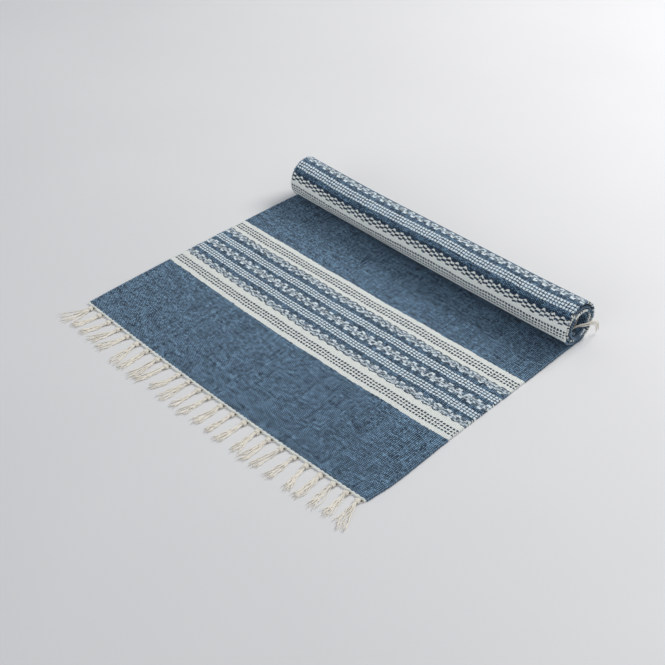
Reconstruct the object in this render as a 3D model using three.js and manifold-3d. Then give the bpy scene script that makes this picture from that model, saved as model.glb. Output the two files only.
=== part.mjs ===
import * as THREE from 'three';
import { mergeVertices } from 'three/addons/utils/BufferGeometryUtils.js';
import Module from 'manifold-3d';

// Cotton rug, lying flat at its near end and rolled up at its far end. Millimetres, +Z up.
// X runs across the rug, Y along it from the near edge to the roll.

// The woven cloth
const WIDTH = 700;
const THICK = 3.4;
const HALF_THICK = THICK / 2;
const FIELD_END = 194;
const FIELD_MID = 182;
const BAND = 205.6;
const CLOTH_LENGTH = 2 * FIELD_END + 2 * FIELD_MID + 3 * BAND;

// The heading and tassels at both ends, a little apart from the cloth's edge
const GAP = 0.4;
const HEADING = 8;
const STRAND = { wide: 3, high: 2.4, taper: 0.35 };
const STRANDS_A_TASSEL = 4;
const STRAND_PITCH = 3.45;
const STRAND_BENDS = 3;
const STRAND_CURVE = 1.4;
const KNOT = { across: 6.8, along: 4.8, high: 3.6, sides: 6, rings: 4 };
const LOCK = { wide: 11, thick: 2.2, long: 50 };

// How far the woven cloth is drawn out of square, at both edges and in the middle
const BOW = [
  { along: 0, left: -2, middle: -9.3, right: -1.4 },
  { along: 190, left: -0.3, middle: -10.6, right: -3.6 },
  { along: 400, left: -7.6, middle: -8.3, right: -2 },
  { along: 535, left: 0, middle: 0, right: 0 },
];

// Where the two selvedges stand, measured from the nominal width, right counted as plus
const SELVEDGES = [
  { along: 0, left: -3, right: -1.5 },
  { along: 60, left: -5, right: 3.5 },
  { along: 200, left: -6.5, right: 1.5 },
  { along: 420, left: -6, right: 2.5 },
  { along: 540, left: -3.5, right: 2 },
  { along: 620, left: 2, right: 5 },
  { along: 690, left: 4.5, right: 3 },
  { along: 780, left: 3, right: 2 },
  { along: 860, left: 0, right: 3 },
  { along: 980, left: -1, right: 2 },
  { along: 1150, left: -2, right: 4 },
  { along: 1380, left: -1, right: -2 },
];

// The roll's section at five places across: its centre, its reach to both sides, its top, and how
// loosely it is wound there
const SECTIONS = [
  { across: 0, centre: 552.5, front: 39.5, back: 43.5, top: 90.5, slack: 0.93 },
  { across: 0.25, centre: 552.5, front: 41.5, back: 45.5, top: 84.5, slack: 0.9 },
  { across: 0.5, centre: 552.5, front: 46.5, back: 47, top: 84.1, slack: 1.02 },
  { across: 0.85, centre: 548, front: 43.5, back: 46, top: 89.8, slack: 1.035 },
  { across: 1, centre: 546.5, front: 41.5, back: 46.5, top: 93.5, slack: 1.07 },
];

// Each turn lies this far inside the roll's section, a row for each turn
const TURNS = [
  { bottom: 0, back: 0, top: 0, front: 1 },
  { bottom: 4.8, back: 4.8, top: 9.5, front: 8.5 },
  { bottom: 9.6, back: 9.6, top: 17, front: 16 },
  { bottom: 14.4, back: 14.4, top: 24.5, front: 23.5 },
  { bottom: 19.2, back: 19.2, top: 32, front: 31 },
  { bottom: 24, back: 24, top: 39, front: 38 },
];

// How far behind the roll's middle the cloth lifts off the floor, and its inner turns rest
const LIFT_SHIFT = 12;
const CORE_SHIFT = 4;

// How finely a turn is built, and how finely its length is walked
const STEPS_A_TURN = 26;
const WALK_STEPS = 15;

// The tassels of the near edge: where each knot sits across the rug, how far its tip leans to the
// right, how far it reaches from the heading, and how wide its strands are spread
const TASSELS = [
  { at: -335, lean: -8, reach: 52, spread: 32 },
  { at: -307, lean: -10, reach: 47, spread: 13 },
  { at: -279, lean: -13, reach: 49, spread: 13 },
  { at: -251, lean: -12, reach: 50, spread: 19 },
  { at: -223, lean: -12, reach: 54, spread: 18 },
  { at: -195, lean: 9, reach: 57, spread: 20 },
  { at: -167, lean: 1, reach: 56, spread: 12 },
  { at: -136, lean: 0, reach: 59, spread: 17 },
  { at: -111, lean: -8, reach: 55, spread: 11 },
  { at: -79, lean: -9, reach: 51, spread: 14 },
  { at: -53, lean: -4, reach: 56, spread: 16 },
  { at: -25, lean: -3, reach: 53, spread: 11 },
  { at: 1, lean: -5, reach: 55, spread: 14 },
  { at: 31, lean: -3, reach: 53, spread: 15 },
  { at: 60, lean: -2, reach: 55, spread: 11 },
  { at: 89, lean: -4, reach: 57, spread: 15 },
  { at: 120, lean: 3, reach: 53, spread: 15 },
  { at: 146, lean: 0, reach: 57, spread: 15 },
  { at: 175, lean: -6, reach: 55, spread: 14 },
  { at: 204, lean: 0, reach: 56, spread: 16 },
  { at: 231, lean: 11, reach: 53, spread: 13 },
  { at: 261, lean: 3, reach: 55, spread: 12 },
  { at: 288, lean: 7, reach: 54, spread: 16 },
  { at: 315, lean: 6, reach: 52, spread: 14 },
  { at: 339, lean: 15, reach: 55, spread: 24 },
];

// The tuft that comes out of the core at the right end: the course of its middle strand, and how
// far the strands beside it stand off
const TUFT = [
  { x: 346, y: 557, z: 35, fanY: 2.3, fanZ: -2.5 },
  { x: 359, y: 568, z: 40, fanY: 0.6, fanZ: -3.5 },
  { x: 362, y: 585, z: 37, fanY: -1, fanZ: -3.5 },
  { x: 362, y: 599, z: 25, fanY: -3.4, fanZ: -1.8 },
  { x: 362, y: 605, z: 8, fanY: -4.3, fanZ: -0.8 },
];
const TUFT_STRANDS = [-1, 0, 1];
const TUFT_ROOT_PITCH = 3.2;
const TUFT_BENDS = 10;

function mix(a, b, share) {
  return a + (b - a) * share;
}

// A value between the rows of a table, eased so that no corner shows at a row
function lookUp(table, key, at, column) {
  const last = table.length - 1;
  let row = 0;
  while (row < last - 1 && at > table[row + 1][key]) {
    row += 1;
  }
  const span = table[row + 1][key] - table[row][key];
  const share = THREE.MathUtils.clamp((at - table[row][key]) / span, 0, 1);
  const before = table[Math.max(row - 1, 0)];
  const after = table[Math.min(row + 2, last)];
  const rise = table[row + 1][column] - table[row][column];
  const riseIn = slope(before, table[row + 1], key, column) * span;
  const riseOut = slope(table[row], after, key, column) * span;
  const cubic = riseIn + riseOut - 2 * rise;
  const square = 3 * rise - 2 * riseIn - riseOut;
  return table[row][column] + share * (riseIn + share * (square + share * cubic));
}

function slope(from, to, key, column) {
  return (to[column] - from[column]) / (to[key] - from[key]);
}

// How far a point of the flat cloth is drawn along the rug: a bow through three values
function bowAt(across, along) {
  const left = lookUp(BOW, 'along', along, 'left');
  const middle = lookUp(BOW, 'along', along, 'middle');
  const right = lookUp(BOW, 'along', along, 'right');
  const side = 2 * across - 1;
  return middle + side * (right - left) / 2 + side * side * ((right + left) / 2 - middle);
}

function crossAt(across, along) {
  const left = -WIDTH / 2 + lookUp(SELVEDGES, 'along', along, 'left');
  const right = WIDTH / 2 + lookUp(SELVEDGES, 'along', along, 'right');
  return mix(left, right, across);
}

// The four values of each turn, strung together as quarter turns
const QUARTERS = TURNS.flatMap((row, turn) => [
  { turn: turn, inset: row.bottom },
  { turn: turn + 0.25, inset: row.back },
  { turn: turn + 0.5, inset: row.top },
  { turn: turn + 0.75, inset: row.front },
]);

// A point of the cloth's middle line in the roll, for a count of turns from where it lifts off
function windPoint(across, turn) {
  const centre = lookUp(SECTIONS, 'across', across, 'centre');
  const front = lookUp(SECTIONS, 'across', across, 'front') - HALF_THICK;
  const back = lookUp(SECTIONS, 'across', across, 'back') - HALF_THICK;
  const high = lookUp(SECTIONS, 'across', across, 'top') / 2;
  const slack = lookUp(SECTIONS, 'across', across, 'slack');
  const inset = lookUp(QUARTERS, 'turn', turn, 'inset') * slack;
  const angle = (turn - 0.25) * 2 * Math.PI;
  const reach = Math.cos(angle) > 0 ? back : front;
  const shift = (turn < 0.25 ? LIFT_SHIFT : CORE_SHIFT) * Math.max(0, -Math.sin(angle)) ** 2;
  return {
    y: centre + shift + (reach - inset) * Math.cos(angle),
    z: high + (high - HALF_THICK - inset) * Math.sin(angle),
  };
}

// The whole middle line at one place across, as short steps with the length walked so far
function walkLine(across) {
  const lift = windPoint(across, 0);
  const line = [{ y: 0, z: HALF_THICK, along: 0 }];
  line.push({ y: lift.y, z: lift.z, along: lift.y });
  const step = 1 / (STEPS_A_TURN * WALK_STEPS);
  for (let turn = step; turn < TURNS.length - 0.25; turn += step) {
    const point = windPoint(across, turn);
    const before = line[line.length - 1];
    const walked = Math.hypot(point.y - before.y, point.z - before.z);
    line.push({ y: point.y, z: point.z, along: before.along + walked, turn: turn });
  }
  return line;
}

function lineAt(line, along) {
  let low = 0;
  let high = line.length - 1;
  while (high - low > 1) {
    const middle = Math.floor((low + high) / 2);
    if (line[middle].along > along) {
      high = middle;
    } else {
      low = middle;
    }
  }
  const share = (along - line[low].along) / (line[high].along - line[low].along);
  const tilt = Math.atan2(line[high].z - line[low].z, line[high].y - line[low].y);
  return {
    y: mix(line[low].y, line[high].y, share),
    z: mix(line[low].z, line[high].z, share),
    tilt: tilt,
  };
}

const lines = new Map();

function clothPoint(across, along, lift) {
  if (!lines.has(across)) {
    lines.set(across, walkLine(across));
  }
  const point = lineAt(lines.get(across), along);
  return new THREE.Vector3(
    crossAt(across, Math.max(along, 0)),
    point.y + bowAt(across, Math.max(along, 0)) - lift * Math.sin(point.tilt),
    point.z + lift * Math.cos(point.tilt),
  );
}

// A closed sheet between two places across and along, with its upper and lower side and four edges
function sheetBody(acrosses, alongs) {
  const rows = acrosses.length;
  const columns = alongs.length;
  const points = [];
  for (const lift of [HALF_THICK, -HALF_THICK]) {
    for (const across of acrosses) {
      for (const along of alongs) {
        points.push(clothPoint(across, along, lift));
      }
    }
  }
  const faces = [];
  const quad = (a, b, c, d) => faces.push(a, b, c, a, c, d);
  const upper = (row, column) => row * columns + column;
  const lower = (row, column) => (rows + row) * columns + column;
  for (let row = 0; row < rows - 1; row += 1) {
    for (let column = 0; column < columns - 1; column += 1) {
      quad(upper(row, column), upper(row + 1, column), upper(row + 1, column + 1),
        upper(row, column + 1));
      quad(lower(row, column), lower(row, column + 1), lower(row + 1, column + 1),
        lower(row + 1, column));
    }
    const last = columns - 1;
    quad(upper(row, 0), lower(row, 0), lower(row + 1, 0), upper(row + 1, 0));
    quad(upper(row, last), upper(row + 1, last), lower(row + 1, last), lower(row, last));
  }
  for (let column = 0; column < columns - 1; column += 1) {
    const last = rows - 1;
    quad(upper(0, column), upper(0, column + 1), lower(0, column + 1), lower(0, column));
    quad(upper(last, column), lower(last, column), lower(last, column + 1),
      upper(last, column + 1));
  }
  return bodyOf(points, faces);
}

// A closed four-sided strand through rings of four points, each counted round its forward way
function strandBody(rings) {
  const points = rings.flat();
  const faces = [];
  const quad = (a, b, c, d) => faces.push(a, b, c, a, c, d);
  for (let ring = 0; ring < rings.length - 1; ring += 1) {
    for (let corner = 0; corner < 4; corner += 1) {
      const next = (corner + 1) % 4;
      const start = 4 * ring;
      quad(start + corner, start + next, start + 4 + next, start + 4 + corner);
    }
  }
  const end = 4 * (rings.length - 1);
  quad(3, 2, 1, 0);
  quad(end, end + 1, end + 2, end + 3);
  return bodyOf(points, faces);
}

function bodyOf(points, faces) {
  const geometry = new THREE.BufferGeometry();
  const values = points.flatMap((point) => [point.x, point.y, point.z]);
  geometry.setAttribute('position', new THREE.Float32BufferAttribute(values, 3));
  geometry.setIndex(faces);
  return geometry;
}

const wasm = await Module();
wasm.setup();

function solidOf(geometry) {
  const plain = geometry.clone();
  plain.deleteAttribute('normal');
  plain.deleteAttribute('uv');
  const merged = mergeVertices(plain, 1e-4);
  return new wasm.Manifold(new wasm.Mesh({
    numProp: 3,
    vertProperties: new Float32Array(merged.attributes.position.array),
    triVerts: new Uint32Array(merged.index.array),
  }));
}

function joined(bodies) {
  const whole = bodies.map(solidOf).reduce((all, solid) => all.add(solid));
  const mesh = whole.getMesh();
  const geometry = new THREE.BufferGeometry();
  const positions = new THREE.Float32BufferAttribute(mesh.vertProperties, 3);
  geometry.setAttribute('position', positions);
  geometry.setIndex([...mesh.triVerts]);
  return geometry;
}

// The cloth: even steps across, closer steps along where it is wound
const ACROSSES = [0, 0.08, 0.17, 0.25, 0.33, 0.42, 0.5, 0.6, 0.72, 0.85, 0.93, 1];
const FLAT_ALONGS = [0, 60, 120, 190, 260, 330, 400, 450, 500, 535];

function woundAlongs() {
  const alongs = [];
  const line = walkLine(0.5);
  let due = 0;
  for (const point of line.slice(1)) {
    if (point.along > CLOTH_LENGTH - THICK) {
      break;
    }
    if ((point.turn ?? 0) >= due) {
      alongs.push(point.along);
      due += 1 / STEPS_A_TURN;
    }
  }
  return [...alongs, CLOTH_LENGTH];
}

const cloth = sheetBody(ACROSSES, [...FLAT_ALONGS, ...woundAlongs()]);

// The near fringe: a heading beside the cloth's edge, then a knot and its strands for each tassel
function headingLine(x) {
  const across = x / WIDTH + 0.5;
  return bowAt(across, 0) - GAP - HEADING;
}

function knotBody(row) {
  const knot = new THREE.SphereGeometry(1, KNOT.sides, KNOT.rings);
  knot.rotateX(Math.PI / 2);
  knot.scale(KNOT.across, KNOT.along, KNOT.high);
  knot.translate(row.at, headingLine(row.at) - KNOT.along / 2, KNOT.high);
  return knot;
}

function tasselBodies(row) {
  const start = headingLine(row.at) - KNOT.along / 2;
  return Array.from({ length: STRANDS_A_TASSEL }, (_, strand) => {
    const place = strand - (STRANDS_A_TASSEL - 1) / 2;
    const root = row.at + place * STRAND_PITCH;
    const tip = row.at + row.lean + place * row.spread / (STRANDS_A_TASSEL - 1);
    const reach = row.reach - 2 * Math.abs(place);
    const rings = [];
    for (let bend = 0; bend <= STRAND_BENDS; bend += 1) {
      const share = bend / STRAND_BENDS;
      const x = mix(root, tip, share ** STRAND_CURVE);
      const y = start - reach * share;
      const half = STRAND.wide * (1 - STRAND.taper * share) / 2;
      rings.push([
        new THREE.Vector3(x - half, y, 0),
        new THREE.Vector3(x + half, y, 0),
        new THREE.Vector3(x + half, y, STRAND.high),
        new THREE.Vector3(x - half, y, STRAND.high),
      ]);
    }
    return strandBody(rings);
  });
}

const nearHeading = sheetBody(ACROSSES, [-GAP - HEADING, -GAP]);
const nearFringe = joined([
  nearHeading,
  ...TASSELS.map(knotBody),
  ...TASSELS.flatMap(tasselBodies),
]);

// The far fringe: the heading goes on round the roll and the locks follow it into the core
const FAR_START = CLOTH_LENGTH + GAP;
const FAR_EDGE = FAR_START + HEADING;
const ROOT_DEPTH = 3;
const TUFT_ACROSS = 0.985;
const TUFT_ROOT_DEPTH = 2.2;

function lockBody(row) {
  const rings = [];
  for (let bend = 0; bend <= 2 * STRAND_BENDS; bend += 1) {
    const share = bend / (2 * STRAND_BENDS);
    const along = mix(FAR_EDGE - ROOT_DEPTH, FAR_EDGE + LOCK.long, share);
    const side = LOCK.wide * (1 - 0.3 * share) / 2 / WIDTH;
    const across = row.at / WIDTH + 0.5;
    rings.push([
      clothPoint(across - side, along, -LOCK.thick / 2),
      clothPoint(across + side, along, -LOCK.thick / 2),
      clothPoint(across + side, along, LOCK.thick / 2),
      clothPoint(across - side, along, LOCK.thick / 2),
    ]);
  }
  return strandBody(rings.reverse());
}

function tuftBodies() {
  const root = clothPoint(TUFT_ACROSS, FAR_EDGE - TUFT_ROOT_DEPTH, 0);
  const lean = new THREE.Vector3(0.3, 1, 0.3);
  return TUFT_STRANDS.map((place) => {
    const course = [
      root.clone().add(new THREE.Vector3(0, place * TUFT_ROOT_PITCH, 0)),
      ...TUFT.map((row) => new THREE.Vector3(
        row.x, row.y + place * row.fanY, row.z + place * row.fanZ,
      )),
    ];
    const curve = new THREE.CatmullRomCurve3(course);
    const rings = [];
    for (let bend = 0; bend <= TUFT_BENDS; bend += 1) {
      const point = curve.getPointAt(bend / TUFT_BENDS);
      const ahead = curve.getTangentAt(bend / TUFT_BENDS);
      const side = new THREE.Vector3().crossVectors(lean, ahead).setLength(STRAND.wide / 2);
      const out = new THREE.Vector3().crossVectors(ahead, side).setLength(STRAND.wide / 2);
      rings.push([
        point.clone().sub(side).sub(out),
        point.clone().add(side).sub(out),
        point.clone().add(side).add(out),
        point.clone().sub(side).add(out),
      ]);
    }
    return strandBody(rings);
  });
}

const farHeading = sheetBody(ACROSSES, [FAR_START, FAR_EDGE]);
const farFringe = joined([
  farHeading,
  ...TASSELS.slice(0, -1).map(lockBody),
  ...tuftBodies(),
]);

// Looks, in plain colours
const COTTON_BLUE = new THREE.MeshStandardMaterial({
  color: 0x2c4a6b, roughness: 0.9, metalness: 0,
});
const COTTON_PALE = new THREE.MeshStandardMaterial({
  color: 0xd9d3c6, roughness: 0.9, metalness: 0,
});

const group = new THREE.Group();

function add(name, geometry, material) {
  const mesh = new THREE.Mesh(geometry, material);
  mesh.name = name;
  group.add(mesh);
}

add('rug_cloth', cloth, COTTON_BLUE);
add('fringe_near', nearFringe, COTTON_PALE);
add('fringe_far', farFringe, COTTON_PALE);

// The origin lies under the middle of the whole, on the floor
const bounds = new THREE.Box3().setFromObject(group);
const middle = bounds.getCenter(new THREE.Vector3());
for (const mesh of group.children) {
  mesh.geometry.translate(-middle.x, -middle.y, -bounds.min.z);
}

export default group;
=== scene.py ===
"""A cotton rug, flat at its near end and rolled up at its far end, dressed over its CAD frame."""

import math
import random

import bpy
import numpy as np
from mathutils import Matrix, Vector


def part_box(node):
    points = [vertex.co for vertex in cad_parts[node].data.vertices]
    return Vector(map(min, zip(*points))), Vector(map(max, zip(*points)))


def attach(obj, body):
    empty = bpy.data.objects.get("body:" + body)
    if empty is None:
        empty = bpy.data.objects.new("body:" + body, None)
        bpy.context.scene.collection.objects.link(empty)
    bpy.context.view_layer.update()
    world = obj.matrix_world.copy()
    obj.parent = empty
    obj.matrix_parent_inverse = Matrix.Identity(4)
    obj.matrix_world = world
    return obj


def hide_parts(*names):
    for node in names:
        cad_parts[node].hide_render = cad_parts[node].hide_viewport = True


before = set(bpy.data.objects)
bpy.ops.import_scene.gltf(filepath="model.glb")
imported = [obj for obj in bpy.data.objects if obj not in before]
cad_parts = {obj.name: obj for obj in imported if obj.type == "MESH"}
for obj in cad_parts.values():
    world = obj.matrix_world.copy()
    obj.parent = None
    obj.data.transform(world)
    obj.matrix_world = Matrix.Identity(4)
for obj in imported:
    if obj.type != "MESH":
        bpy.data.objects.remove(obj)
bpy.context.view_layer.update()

MM_A_METRE = 1000
FULL_TURN = 2 * math.pi
QUARTER = 0.25

# Sizes in millimetres, as in the part's source
WIDTH = 700
THICK = 3.4
HALF_THICK = THICK / 2
FIELD_END = 194
FIELD_MID = 182
BAND = 205.6
CLOTH_LENGTH = 2 * FIELD_END + 2 * FIELD_MID + 3 * BAND
GAP = 0.4
HEADING = 8
FLAT_END = 535

# How far the cross lines bow, at places along the cloth
BOW = {
    "along": [0, 190, 400, 535],
    "left": [-2, -0.3, -7.6, 0],
    "middle": [-9.3, -10.6, -8.3, 0],
    "right": [-1.4, -3.6, -2, 0],
}
# How far the long edges wander, at places along the cloth
SELVEDGES = {
    "along": [0, 60, 200, 420, 540, 620, 690, 780, 860, 980, 1150, 1380],
    "left": [-3, -5, -6.5, -6, -3.5, 2, 4.5, 3, 0, -1, -2, -1],
    "right": [-1.5, 3.5, 1.5, 2.5, 2, 5, 3, 2, 3, 2, 4, -2],
}
# The roll's outline, at shares of the way across, and how loosely its turns lie
SECTIONS = {
    "across": [0, 0.25, 0.5, 0.85, 1],
    "centre": [552.5, 552.5, 552.5, 548, 546.5],
    "front": [39.5, 41.5, 46.5, 43.5, 41.5],
    "back": [43.5, 45.5, 47, 46, 46.5],
    "top": [90.5, 84.5, 84.1, 89.8, 93.5],
    "slack": [0.93, 0.9, 1.02, 1.035, 1.07],
}
# How far inside the outline each turn lies, at its four quarters
TURNS = {
    "bottom": [0, 4.8, 9.6, 14.4, 19.2, 24],
    "back": [0, 4.8, 9.6, 14.4, 19.2, 24],
    "top": [0, 9.5, 17, 24.5, 32, 39],
    "front": [1, 8.5, 16, 23.5, 31, 38],
}
# How far back the bottom lies, where the cloth leaves the floor and in the later turns
LIFT_SHIFT = 12
CORE_SHIFT = 4
STEPS_A_TURN = 400
# The slope of the cloth is taken over this much on both sides of a point
SLOPE_STEP = 0.5
# No yarn comes nearer to the floor than this
FLOOR_GAP = 0.05

# The near tassels: where they stand, how far their tips lean, how long and how wide they are
TASSELS = [
    {"at": -335, "lean": -8, "reach": 52, "spread": 32},
    {"at": -307, "lean": -10, "reach": 47, "spread": 13},
    {"at": -279, "lean": -13, "reach": 49, "spread": 13},
    {"at": -251, "lean": -12, "reach": 50, "spread": 19},
    {"at": -223, "lean": -12, "reach": 54, "spread": 18},
    {"at": -195, "lean": 9, "reach": 57, "spread": 20},
    {"at": -167, "lean": 1, "reach": 56, "spread": 12},
    {"at": -136, "lean": 0, "reach": 59, "spread": 17},
    {"at": -111, "lean": -8, "reach": 55, "spread": 11},
    {"at": -79, "lean": -9, "reach": 51, "spread": 14},
    {"at": -53, "lean": -4, "reach": 56, "spread": 16},
    {"at": -25, "lean": -3, "reach": 53, "spread": 11},
    {"at": 1, "lean": -5, "reach": 55, "spread": 14},
    {"at": 31, "lean": -3, "reach": 53, "spread": 15},
    {"at": 60, "lean": -2, "reach": 55, "spread": 11},
    {"at": 89, "lean": -4, "reach": 57, "spread": 15},
    {"at": 120, "lean": 3, "reach": 53, "spread": 15},
    {"at": 146, "lean": 0, "reach": 57, "spread": 15},
    {"at": 175, "lean": -6, "reach": 55, "spread": 14},
    {"at": 204, "lean": 0, "reach": 56, "spread": 16},
    {"at": 231, "lean": 11, "reach": 53, "spread": 13},
    {"at": 261, "lean": 3, "reach": 55, "spread": 12},
    {"at": 288, "lean": 7, "reach": 54, "spread": 16},
    {"at": 315, "lean": 6, "reach": 52, "spread": 14},
    {"at": 339, "lean": 15, "reach": 55, "spread": 24},
]
# The way the tuft takes out of the roll's end, and how its yarns fan out on it
TUFT = [
    {"x": 346, "y": 557, "z": 35, "fan_y": 2.3, "fan_z": -2.5},
    {"x": 359, "y": 568, "z": 40, "fan_y": 0.6, "fan_z": -3.5},
    {"x": 362, "y": 585, "z": 37, "fan_y": -1, "fan_z": -3.5},
    {"x": 362, "y": 599, "z": 25, "fan_y": -3.4, "fan_z": -1.8},
    {"x": 362, "y": 605, "z": 8, "fan_y": -4.3, "fan_z": -0.8},
]


def mix(start, end, share):
    return start + (end - start) * share


def fan(count):
    """Even places from -1 to 1."""
    return [(index / (count - 1) - 0.5) * 2 for index in range(count)]


def look_up(table, key, at, column):
    """Values between the rows of a table, eased so that no corner shows at a row."""
    keys = np.asarray(table[key], float)
    values = np.asarray(table[column], float)
    last = len(keys) - 1
    at = np.clip(np.asarray(at, float), keys[0], keys[-1])
    row = np.clip(np.searchsorted(keys, at, side="left") - 1, 0, last - 1)
    before = np.maximum(row - 1, 0)
    after = np.minimum(row + 2, last)
    span = keys[row + 1] - keys[row]
    share = (at - keys[row]) / span
    rise = values[row + 1] - values[row]
    rise_in = (values[row + 1] - values[before]) / (keys[row + 1] - keys[before]) * span
    rise_out = (values[after] - values[row]) / (keys[after] - keys[row]) * span
    cubic = rise_in + rise_out - 2 * rise
    square = 3 * rise - 2 * rise_in - rise_out
    return values[row] + share * (rise_in + share * (square + share * cubic))


def bow_at(across, along):
    left, middle, right = (
        look_up(BOW, "along", along, column) for column in ("left", "middle", "right")
    )
    side = 2 * across - 1
    return middle + side * (right - left) / 2 + side * side * ((right + left) / 2 - middle)


def cross_at(across, along):
    left = -WIDTH / 2 + look_up(SELVEDGES, "along", along, "left")
    right = WIDTH / 2 + look_up(SELVEDGES, "along", along, "right")
    return mix(left, right, across)


QUARTERS = {
    "turn": [turn + QUARTER * place for turn in range(len(TURNS["top"])) for place in range(4)],
    "inset": [
        TURNS[place][turn]
        for turn in range(len(TURNS["top"]))
        for place in ("bottom", "back", "top", "front")
    ],
}


def walk_line(across):
    """The cloth's middle line at one place across: y, z and the length walked to each point."""
    turn = np.arange(0, QUARTERS["turn"][-1], 1 / STEPS_A_TURN)
    centre, front, back, top, slack = (
        look_up(SECTIONS, "across", across, column)
        for column in ("centre", "front", "back", "top", "slack")
    )
    high = top / 2
    inset = look_up(QUARTERS, "turn", turn, "inset") * slack
    angle = (turn - QUARTER) * FULL_TURN
    reach = np.where(np.cos(angle) > 0, back - HALF_THICK, front - HALF_THICK)
    shift = np.where(turn < QUARTER, LIFT_SHIFT, CORE_SHIFT)
    y = centre + shift * np.maximum(0, -np.sin(angle)) ** 2 + (reach - inset) * np.cos(angle)
    z = high + (high - HALF_THICK - inset) * np.sin(angle)
    y = np.concatenate([[-2 * HEADING], y])
    z = np.concatenate([[HALF_THICK], z])
    steps = np.hypot(np.diff(y), np.diff(z))
    along = np.concatenate([[0], np.cumsum(steps)]) - 2 * HEADING
    return y, z, along


walked_lines = {}


def cloth_points(across, along, lift):
    """Points of the cloth at one place across, lifted off its middle line, in millimetres."""
    across = float(across)
    if across not in walked_lines:
        walked_lines[across] = walk_line(across)
    y, z, walked = walked_lines[across]
    along = np.atleast_1d(np.asarray(along, float))
    ahead = along + SLOPE_STEP
    behind = along - SLOPE_STEP
    tilt = np.arctan2(
        np.interp(ahead, walked, z) - np.interp(behind, walked, z),
        np.interp(ahead, walked, y) - np.interp(behind, walked, y),
    )
    held = np.maximum(along, 0)
    return np.stack(
        [
            cross_at(across, held) + 0 * along,
            np.interp(along, walked, y) + bow_at(across, held) - lift * np.sin(tilt),
            np.interp(along, walked, z) + lift * np.cos(tilt),
        ],
        axis=-1,
    )


def cloth_point(across, along, lift):
    return Vector(cloth_points(across, along, lift)[0])


def share_across(x):
    return x / WIDTH + 0.5


# Where the rug's own frame lies in the CAD frame: the lowest x and y are looked for on three
# lines along the flat part and the start of the roll
RIM_LENGTH = 700
RIM_STEP = 5.0
RIM_ALONG = np.arange(0, RIM_LENGTH, RIM_STEP)
cad_low = Vector(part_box("rug_cloth")[0]) * MM_A_METRE
rim = [cloth_points(across, RIM_ALONG, 0) for across in (0, 0.5, 1)]
SHIFT = Vector(
    (
        cad_low.x - min(part[:, 0].min() for part in rim),
        cad_low.y - min(part[:, 1].min() for part in rim),
        0,
    )
)


def placed(points):
    """Rug millimetres to CAD metres."""
    return (np.asarray(points, float) + np.array(SHIFT)) / MM_A_METRE


def mesh_object(name, points, faces, uvs, materials, face_materials=None):
    mesh = bpy.data.meshes.new(name)
    mesh.from_pydata([tuple(point) for point in placed(points)], [], faces)
    for material in materials:
        mesh.materials.append(material)
    if face_materials is not None:
        mesh.polygons.foreach_set("material_index", face_materials)
    layer = mesh.uv_layers.new(name="weave")
    corners = np.zeros(len(mesh.loops), int)
    mesh.loops.foreach_get("vertex_index", corners)
    layer.data.foreach_set("uv", (np.asarray(uvs, float)[corners] / MM_A_METRE).ravel())
    mesh.polygons.foreach_set("use_smooth", [True] * len(mesh.polygons))
    mesh.update()
    piece = bpy.data.objects.new(name, mesh)
    bpy.context.scene.collection.objects.link(piece)
    return piece


# A tube's first ring is set square to this way, or to the other where the tube runs along it
RING_WAY = (0.1, 0.2, 1)
OTHER_WAY = (1, 0, 0)
NEARLY_ALONG = 0.1
SHORTEST = 1e-9


class Bundle:
    """Many small things gathered into one mesh."""

    def __init__(self):
        self.points = []
        self.faces = []
        self.uvs = []
        self.count = 0

    def add(self, points, faces, uvs):
        self.faces += [tuple(corner + self.count for corner in face) for face in faces]
        self.points.append(np.asarray(points, float))
        self.uvs.append(np.asarray(uvs, float))
        self.count += len(points)

    def tube(self, path, radii, sides=6, flat=1.0):
        """A closed tube along a path, kept off the floor, with a radius for each point."""
        path = np.array(path, float)
        path[:, 2] = np.maximum(path[:, 2], FLOOR_GAP)
        rings = self.rings(path, np.broadcast_to(np.asarray(radii, float), (len(path),)), sides, flat)
        faces = []
        for ring in range(len(path) - 1):
            for corner in range(sides):
                here = ring * sides + corner
                beside = ring * sides + (corner + 1) % sides
                faces.append((here, beside, beside + sides, here + sides))
        first_cap = len(path) * sides
        last_cap = first_cap + 1
        last_ring = first_cap - sides
        for corner in range(sides):
            beside = (corner + 1) % sides
            faces.append((first_cap, beside, corner))
            faces.append((last_cap, last_ring + corner, last_ring + beside))
        points = np.concatenate(rings + [path[:1], path[-1:]])
        walked = np.concatenate([[0], np.cumsum(np.linalg.norm(np.diff(path, axis=0), axis=1))])
        uvs = [(corner / sides, length) for length in walked for corner in range(sides)]
        uvs += [(0, 0), (0, walked[-1])]
        self.add(points, faces, uvs)

    def rings(self, path, radii, sides, flat):
        """The rings of a tube, carried along its path without a twist."""
        ahead = np.gradient(path, axis=0)
        ahead /= np.maximum(np.linalg.norm(ahead, axis=1), SHORTEST)[:, None]
        side = np.cross(ahead[0], RING_WAY)
        if np.linalg.norm(side) < NEARLY_ALONG:
            side = np.cross(ahead[0], OTHER_WAY)
        turn = np.arange(sides) * FULL_TURN / sides
        rings = []
        for place, way, radius in zip(path, ahead, radii):
            side = side - way * side.dot(way)
            side /= np.linalg.norm(side)
            up = np.cross(side, way)
            ring = place + radius * (
                np.cos(turn)[:, None] * side + flat * np.sin(turn)[:, None] * up
            )
            ring[:, 2] = np.maximum(ring[:, 2], FLOOR_GAP)
            rings.append(ring)
        return rings

    def piece(self, name, material):
        return mesh_object(
            name, np.concatenate(self.points), self.faces, np.concatenate(self.uvs), [material]
        )


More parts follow.
